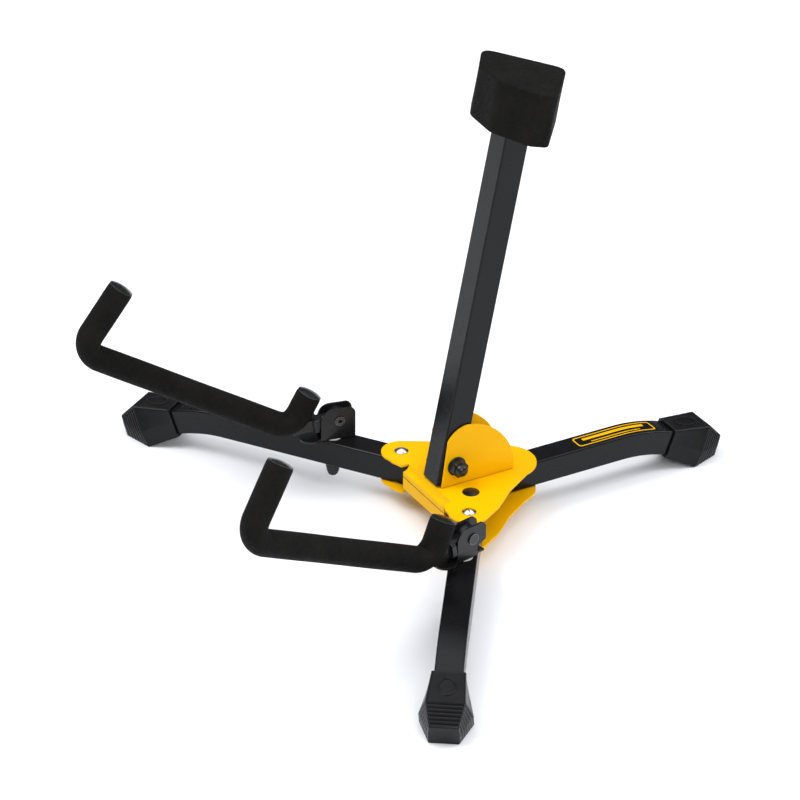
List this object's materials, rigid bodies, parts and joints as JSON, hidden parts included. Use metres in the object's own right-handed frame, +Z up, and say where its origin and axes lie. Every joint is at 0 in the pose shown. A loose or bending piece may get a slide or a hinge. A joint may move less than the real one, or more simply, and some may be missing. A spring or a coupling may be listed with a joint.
{
  "type": "saxophone stand",
  "caption": "Low folding saxophone stand: yellow steel hub, black square-tube legs and leaning upright with a foam bell pad, and padded U arms on swivelling brackets.",
  "frame": {"origin": "middle of the footprint box, on the floor", "axes": "+X towards the rear leg, +Y towards the front leg that is on the left as the player stands behind the stand, +Z up"},
  "size_m": [0.4718, 0.4976, 0.3566],
  "materials": {
    "yellow_paint": "satin",
    "black_tube": "satin",
    "black_steel": "gloss",
    "bare_steel": "satin",
    "chrome_rivet": "polished",
    "dark_rivet": "satin",
    "rubber_foot": "matte",
    "foam": "matte",
    "nylon": "matte",
    "black_plastic": "satin",
    "gloss_cap": "gloss"
  },
  "bodies": {
    "hub": {"hub_top_plate": "yellow_paint", "hub_bottom_plate": "yellow_paint", "upright_clevis": "yellow_paint", "spacer_rivets": "black_steel", "rear_leg": "black_tube", "rear_leg_shims": "nylon", "rear_leg_rivets": "black_steel", "rear_foot": "rubber_foot", "pivot_bolt": "black_steel", "pivot_nut": "black_plastic", "pivot_washers": "nylon", "left_leg_rivet": "chrome_rivet", "right_leg_rivet": "chrome_rivet", "left_leg_washers": "nylon", "right_leg_washers": "nylon"},
    "upright": {"upright_tube": "black_tube", "pivot_sleeve": "bare_steel", "pad_plug": "black_plastic"},
    "pad": {"bell_pad": "foam"},
    "left_leg": {"left_leg": "black_tube", "left_foot": "rubber_foot", "left_bracket_bolt": "black_steel", "left_bracket_cap": "black_plastic", "left_bracket_washer": "nylon"},
    "left_bracket": {"left_bracket": "black_steel", "left_arm_pin": "dark_rivet"},
    "left_arm": {"left_arm_link": "black_steel", "left_arm_rod": "bare_steel", "left_arm_foam": "foam", "left_arm_caps": "gloss_cap"},
    "right_leg": {"right_leg": "black_tube", "right_foot": "rubber_foot", "right_bracket_bolt": "black_steel", "right_bracket_cap": "black_plastic", "right_bracket_washer": "nylon"},
    "right_bracket": {"right_bracket": "black_steel", "right_arm_pin": "dark_rivet"},
    "right_arm": {"right_arm_link": "black_steel", "right_arm_rod": "bare_steel", "right_arm_foam": "foam", "right_arm_caps": "gloss_cap"}
  },
  "joints": [
    {"name": "upright_fold", "type": "hinge", "parent": "hub", "child": "upright", "pos_m": [0.00022, 0, 0.0568], "axis": [0, 1, 0], "range_deg": [0, 78.5]},
    {"name": "pad_swivel", "type": "hinge", "parent": "upright", "child": "pad", "pos_m": [0.05183, 0, 0.33318], "axis": [0.1917, 0, 0.9815], "continuous": true},
    {"name": "left_leg_fold", "type": "hinge", "parent": "hub", "child": "left_leg", "pos_m": [-0.01078, 0.0495, 0.03], "axis": [0, 0, -1], "range_deg": [0, 124.5]},
    {"name": "left_bracket_swivel", "type": "hinge", "parent": "left_leg", "child": "left_bracket", "pos_m": [-0.04307, 0.09648, 0.045], "axis": [0, 0, -1], "range_deg": [-20, 43]},
    {"name": "left_arm_lift", "type": "hinge", "parent": "left_bracket", "child": "left_arm", "pos_m": [-0.03935, 0.0957, 0.0544], "axis": [0.2028, 0.9792, 0], "range_deg": [-3.3, 52.7]},
    {"name": "right_leg_fold", "type": "hinge", "parent": "hub", "child": "right_leg", "pos_m": [-0.01078, -0.0495, 0.03], "axis": [0, 0, 1], "range_deg": [0, 124.5]},
    {"name": "right_bracket_swivel", "type": "hinge", "parent": "right_leg", "child": "right_bracket", "pos_m": [-0.04307, -0.09648, 0.045], "axis": [0, 0, 1], "range_deg": [-20, 43]},
    {"name": "right_arm_lift", "type": "hinge", "parent": "right_bracket", "child": "right_arm", "pos_m": [-0.03935, -0.0957, 0.0544], "axis": [-0.2028, 0.9792, 0], "range_deg": [0, 56]}
  ]
}
